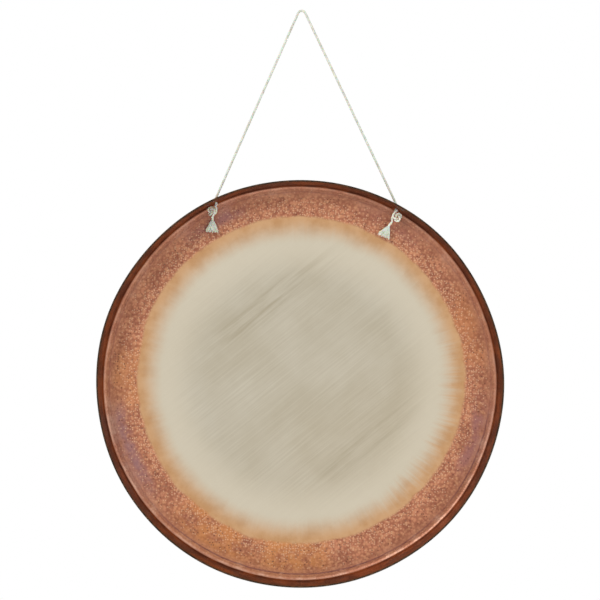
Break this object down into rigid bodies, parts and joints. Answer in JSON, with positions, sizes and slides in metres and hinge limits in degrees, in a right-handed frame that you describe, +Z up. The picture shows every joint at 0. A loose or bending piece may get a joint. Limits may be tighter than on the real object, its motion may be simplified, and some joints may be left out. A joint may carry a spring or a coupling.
{
  "type": "tam gong",
  "caption": "Flat-faced bronze gong with a turned-up hammered rim, hanging on a cord that is tied off inside the pan in stopper knots with unravelled ends",
  "frame": {"origin": "the point of the cord that bears on the hook, at the top of the cord", "axes": "+Z up, +X to the right and -Y to the viewer who looks into the open side of the pan"},
  "size_m": [0.6104, 0.0661, 0.8718],
  "materials": {
    "bronze": "hammered bronze, scraped pale in the middle, with heat-tinted copper and violet round it and a dark oxide on the rim",
    "cord": "off-white laid cotton cord",
    "knotted_cord": "off-white cotton cord pulled tight",
    "unravelled_cord": "off-white cotton strands"
  },
  "bodies": {
    "hanger": {"hanging_cord": "cord"},
    "gong": {"gong_disc": "bronze", "stopper_knot_left": "knotted_cord", "stopper_knot_right": "knotted_cord", "frayed_end_left": "unravelled_cord", "frayed_end_right": "unravelled_cord"}
  },
  "joints": [
    {"name": "disc_tilt", "type": "hinge", "parent": "hanger", "child": "gong", "pos_m": [0.00808, 0, -0.29216], "axis": [0.9996, 0, -0.0297], "range_deg": [-65, 65]}
  ]
}
